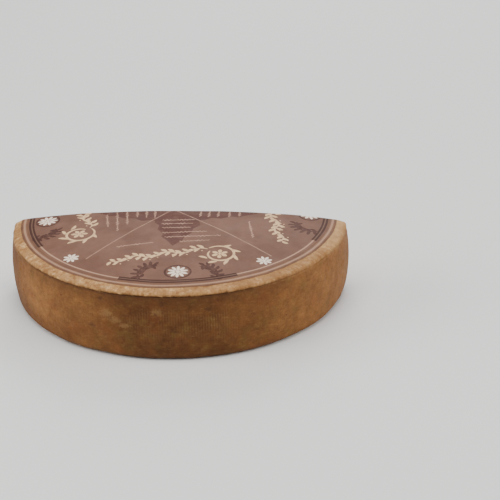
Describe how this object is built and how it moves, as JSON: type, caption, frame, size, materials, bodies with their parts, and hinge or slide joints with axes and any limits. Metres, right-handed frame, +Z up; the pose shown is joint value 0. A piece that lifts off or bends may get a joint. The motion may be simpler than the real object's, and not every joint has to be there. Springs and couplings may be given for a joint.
{
  "type": "cheese wheel",
  "caption": "Half of a round semi-hard mountain cheese, cut through the middle, with a natural brown rind, eyes in the pale cut face and a paper label on its crowned top.",
  "frame": {"origin": "centre of the bounding box of the half wheel, on the plane that its flat base rests on", "axes": "+X along the cut face, its longest side; +Y out of the cut face, so the round side faces -Y; +Z up, from the base to the labelled top"},
  "size_m": [0.3144, 0.1572, 0.0766],
  "materials": {
    "rind": "washed natural rind, satin, mottled brown; pale yellow waxy paste on the cut face",
    "printed_paper": "thin printed paper, slight satin, mauve brown with cream print"
  },
  "bodies": {
    "root": {"cheese_half_wheel": "rind", "top_label": "printed_paper"}
  },
  "joints": []
}
